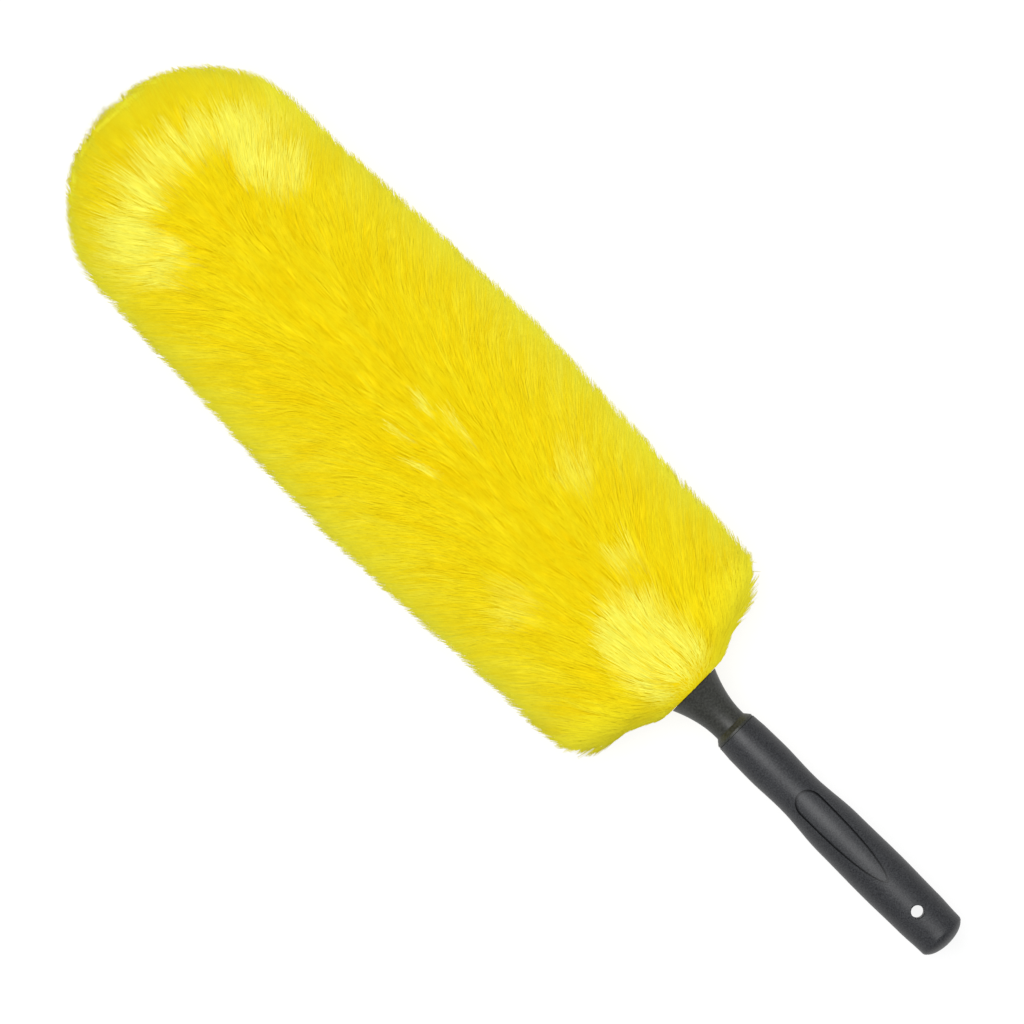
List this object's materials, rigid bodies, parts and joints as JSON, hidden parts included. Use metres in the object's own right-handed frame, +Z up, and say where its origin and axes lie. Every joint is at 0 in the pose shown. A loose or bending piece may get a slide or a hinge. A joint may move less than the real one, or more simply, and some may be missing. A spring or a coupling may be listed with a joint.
{
  "type": "pull-off plush duster",
  "caption": "Hand duster with a flat pile sleeve on a sheathed wire loop, a flared neck and a moulded handle with a thumb recess and hanging hole.",
  "frame": {"origin": "middle of the hanging hole, on the handle's axis", "axes": "+Y along the handle to the tip of the head, +X across the flat head, +Z up out of the front, which has the thumb recess"},
  "size_m": [0.156, 0.6289, 0.084],
  "materials": {
    "grip_plastic": "matte",
    "neck_plastic": "satin",
    "plug_plastic": "satin",
    "spring_wire": "satin",
    "ferrule_metal": "satin",
    "sheath_vinyl": "satin",
    "backing_cloth": "matte",
    "yellow_pile": "matte",
    "binding_tape": "matte",
    "elastic": "matte"
  },
  "bodies": {
    "handle": {"grip": "grip_plastic", "end_cap": "grip_plastic", "neck_socket": "neck_plastic", "anchor_plug": "plug_plastic", "wire_loop": "spring_wire", "wire_ferrules": "ferrule_metal", "loop_sheath": "sheath_vinyl"},
    "sleeve": {"sleeve_lining": "backing_cloth", "pile_front": "yellow_pile", "pile_back": "yellow_pile", "side_binding": "binding_tape", "hem_band": "binding_tape", "hem_elastic": "elastic"}
  },
  "joints": [
    {"name": "sleeve_pull", "type": "slide", "parent": "handle", "child": "sleeve", "axis": [0, 1, 0], "range_m": [0, 0.42], "deforming": ["hem_band", "hem_elastic"]}
  ]
}
